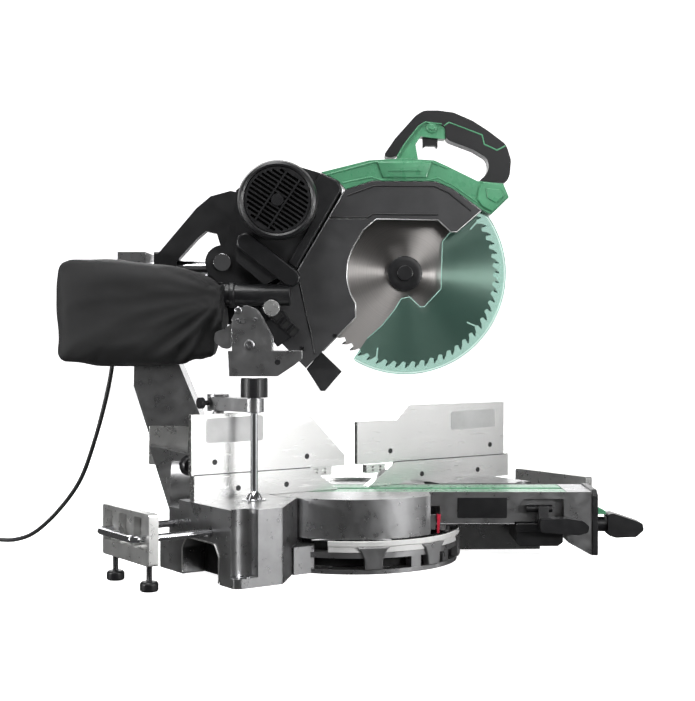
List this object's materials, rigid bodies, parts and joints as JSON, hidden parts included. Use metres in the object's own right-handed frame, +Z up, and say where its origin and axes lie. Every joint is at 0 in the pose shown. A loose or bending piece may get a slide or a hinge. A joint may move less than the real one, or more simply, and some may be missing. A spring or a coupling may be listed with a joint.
{
  "type": "sliding miter saw",
  "caption": "Bench saw with a circular blade on a hinged head that slides on two rails, over a turntable with fences and a work clamp.",
  "frame": {"origin": "on the floor, on the turntable's pivot axis", "axes": "+Z up, -Y towards the operator, +X the operator's right; the fence lies along X"},
  "size_m": [0.9774, 0.9111, 0.7165],
  "materials": {
    "grey_casting": "satin grey cast paint",
    "dark_casting": "satin dark grey",
    "machined_aluminium": "milled",
    "chromed_steel": "polished",
    "blade_steel": "ground in circles",
    "black_plastic": "fine grain",
    "green_plastic": "satin",
    "clear_green": "clear",
    "red_plastic": "satin",
    "black_cloth": "woven",
    "black_rubber": "matte"
  },
  "bodies": {
    "base": {"base_casting": "grey_casting", "miter_scale_ring": "machined_aluminium", "fixed_fence": "machined_aluminium"},
    "left_fence": {"left_fence_plate": "machined_aluminium"},
    "left_fence_knob": {"left_fence_knob": "black_plastic"},
    "right_fence": {"right_fence_plate": "machined_aluminium"},
    "right_fence_knob": {"right_fence_knob": "black_plastic"},
    "left_holder": {"left_holder_plate": "machined_aluminium", "left_holder_rod": "chromed_steel"},
    "left_front_foot": {"left_front_foot": "black_plastic"},
    "left_rear_foot": {"left_rear_foot": "black_plastic"},
    "right_holder": {"right_holder_plate": "machined_aluminium", "right_holder_rod": "chromed_steel"},
    "right_front_foot": {"right_front_foot": "black_plastic"},
    "right_rear_foot": {"right_rear_foot": "black_plastic"},
    "vise": {"vise_arm": "grey_casting"},
    "vise_clamp_screw": {"vise_clamp_screw": "black_plastic"},
    "vise_spindle": {"vise_rod": "chromed_steel", "vise_bracket": "grey_casting"},
    "vise_lever": {"vise_lever": "grey_casting"},
    "turntable": {"turntable": "grey_casting", "kerf_plate_left": "green_plastic", "kerf_plate_right": "green_plastic", "miter_pointer": "red_plastic", "front_cap": "black_plastic", "power_cord": "black_rubber", "cord_coil": "black_rubber", "power_plug": "black_rubber"},
    "miter_lock": {"miter_lock_handle": "black_plastic"},
    "detent_lever": {"detent_lever": "green_plastic"},
    "bevel_lock": {"bevel_lock_lever": "black_plastic"},
    "column": {"tilt_column": "grey_casting", "upper_rail": "chromed_steel", "lower_rail": "chromed_steel", "rail_end_bridge": "black_plastic", "strain_relief": "black_rubber"},
    "carriage": {"slide_carriage": "dark_casting", "hinge_pin": "chromed_steel"},
    "slide_lock": {"slide_lock_knob": "black_plastic"},
    "head": {"gear_case": "dark_casting", "motor_housing": "black_plastic", "motor_grille": "black_plastic", "drive_belt": "black_rubber", "belt_cover": "dark_casting", "guard_housing": "green_plastic", "guard_cover": "dark_casting", "handle_core": "green_plastic", "handle_grip": "black_plastic", "dust_duct": "black_plastic", "dust_bag": "black_cloth", "dust_flap": "black_rubber", "work_light": "black_plastic"},
    "depth_stop": {"depth_stop_knob": "machined_aluminium"},
    "trigger": {"trigger": "green_plastic"},
    "lock_off": {"lock_off_button": "green_plastic"},
    "motor": {"motor_rotor": "blade_steel"},
    "lower_guard": {"lower_guard": "clear_green"},
    "blade": {"saw_blade": "blade_steel", "spindle": "blade_steel", "blade_bolt": "dark_casting"}
  },
  "joints": [
    {"name": "miter_turn", "type": "hinge", "parent": "base", "child": "turntable", "pos_m": [0, 0, 0], "axis": [0, 0, 1], "range_deg": [-100, 2]},
    {"name": "bevel_tilt", "type": "hinge", "parent": "turntable", "child": "column", "pos_m": [0, 0, 0.11], "axis": [0.8192, -0.5736, 0], "range_deg": [-48, 0], "deforming": ["power_cord"]},
    {"name": "head_slide", "type": "slide", "parent": "column", "child": "carriage", "axis": [0.8192, -0.5736, 0], "range_m": [0, 0.28]},
    {"name": "head_chop", "type": "hinge", "parent": "carriage", "child": "head", "pos_m": [-0.17202, 0.12045, 0.473], "axis": [0.5736, 0.8192, 0], "range_deg": [0, 44.5], "stiffness_Nm_per_rad": 14, "springref_deg": -126.05},
    {"name": "lower_guard_swing", "type": "hinge", "parent": "head", "child": "lower_guard", "pos_m": [0.06758, -0.04732, 0.456], "axis": [0.5736, 0.8192, 0], "range_deg": [-160, 0]},
    {"name": "blade_spin", "type": "hinge", "parent": "head", "child": "blade", "pos_m": [0.06758, -0.04732, 0.456], "axis": [0.5736, 0.8192, 0], "continuous": true},
    {"name": "motor_spin", "type": "hinge", "parent": "head", "child": "motor", "pos_m": [-0.09584, 0.06711, 0.564], "axis": [0.5736, 0.8192, 0], "continuous": true},
    {"name": "trigger_pull", "type": "slide", "parent": "head", "child": "trigger", "axis": [0, 0, 1], "range_m": [0, 0.005], "stiffness_N_per_m": 600, "springref_m": -0.002},
    {"name": "lock_off_press", "type": "slide", "parent": "head", "child": "lock_off", "axis": [0.5736, 0.8192, 0], "range_m": [0, 0.004], "stiffness_N_per_m": 400, "springref_m": -0.002},
    {"name": "depth_stop_turn", "type": "hinge", "parent": "head", "child": "depth_stop", "pos_m": [-0.10485, 0.07342, 0.399], "axis": [0.5736, 0.8192, 0], "range_deg": [-180, 180]},
    {"name": "slide_lock_turn", "type": "hinge", "parent": "carriage", "child": "slide_lock", "pos_m": [-0.10647, 0.19663, 0.434], "axis": [0.5736, 0.8192, 0], "range_deg": [0, 90]},
    {"name": "miter_lock_turn", "type": "hinge", "parent": "turntable", "child": "miter_lock", "pos_m": [0.30718, -0.21509, 0.052], "axis": [0.8192, -0.5736, 0], "range_deg": [0, 60]},
    {"name": "detent_press", "type": "hinge", "parent": "turntable", "child": "detent_lever", "pos_m": [0.31537, -0.22083, 0.08], "axis": [0.5736, 0.8192, 0], "range_deg": [0, 6], "stiffness_Nm_per_rad": 1, "springref_deg": -8.59},
    {"name": "bevel_lock_lift", "type": "hinge", "parent": "turntable", "child": "bevel_lock", "pos_m": [0.2106, -0.20484, 0.083], "axis": [0.8192, -0.5736, 0], "range_deg": [-50, 0]},
    {"name": "vise_swing", "type": "hinge", "parent": "base", "child": "vise", "pos_m": [-0.225, 0.044, 0], "axis": [0, 0, 1], "range_deg": [-40, 0]},
    {"name": "vise_clamp_turn", "type": "hinge", "parent": "vise", "child": "vise_clamp_screw", "pos_m": [-0.225, 0.044, 0.253], "axis": [-1, 0, 0], "range_deg": [0, 180]},
    {"name": "vise_raise", "type": "slide", "parent": "vise", "child": "vise_spindle", "axis": [0, 0, 1], "range_m": [0, 0.04]},
    {"name": "vise_lever_lift", "type": "hinge", "parent": "vise_spindle", "child": "vise_lever", "pos_m": [-0.22329, -0.0314, 0.378], "axis": [0.5736, 0.8192, 0], "range_deg": [0, 60]},
    {"name": "left_fence_slide", "type": "slide", "parent": "base", "child": "left_fence", "axis": [-1, 0, 0], "range_m": [0, 0.1]},
    {"name": "left_fence_knob_turn", "type": "hinge", "parent": "left_fence", "child": "left_fence_knob", "pos_m": [-0.274, 0, 0.1585], "axis": [0, 1, 0], "range_deg": [0, 90]},
    {"name": "right_fence_slide", "type": "slide", "parent": "base", "child": "right_fence", "axis": [1, 0, 0], "range_m": [0, 0.1]},
    {"name": "right_fence_knob_turn", "type": "hinge", "parent": "right_fence", "child": "right_fence_knob", "pos_m": [0.164, 0, 0.1585], "axis": [0, 1, 0], "range_deg": [0, 90]},
    {"name": "left_holder_slide", "type": "slide", "parent": "base", "child": "left_holder", "axis": [-1, 0, 0], "range_m": [0, 0.06]},
    {"name": "right_holder_slide", "type": "slide", "parent": "base", "child": "right_holder", "axis": [1, 0, 0], "range_m": [0, 0.06]},
    {"name": "left_front_foot_screw", "type": "slide", "parent": "left_holder", "child": "left_front_foot", "axis": [0, 0, 1], "range_m": [0, 0.008]},
    {"name": "left_rear_foot_screw", "type": "slide", "parent": "left_holder", "child": "left_rear_foot", "axis": [0, 0, 1], "range_m": [0, 0.008]},
    {"name": "right_front_foot_screw", "type": "slide", "parent": "right_holder", "child": "right_front_foot", "axis": [0, 0, 1], "range_m": [0, 0.008]},
    {"name": "right_rear_foot_screw", "type": "slide", "parent": "right_holder", "child": "right_rear_foot", "axis": [0, 0, 1], "range_m": [0, 0.008]}
  ],
  "couplings": [
    {"joint": "lower_guard_swing", "follows": "head_chop", "ratio": -3.5955},
    {"joint": "motor_spin", "follows": "blade_spin", "ratio": 2.2}
  ]
}
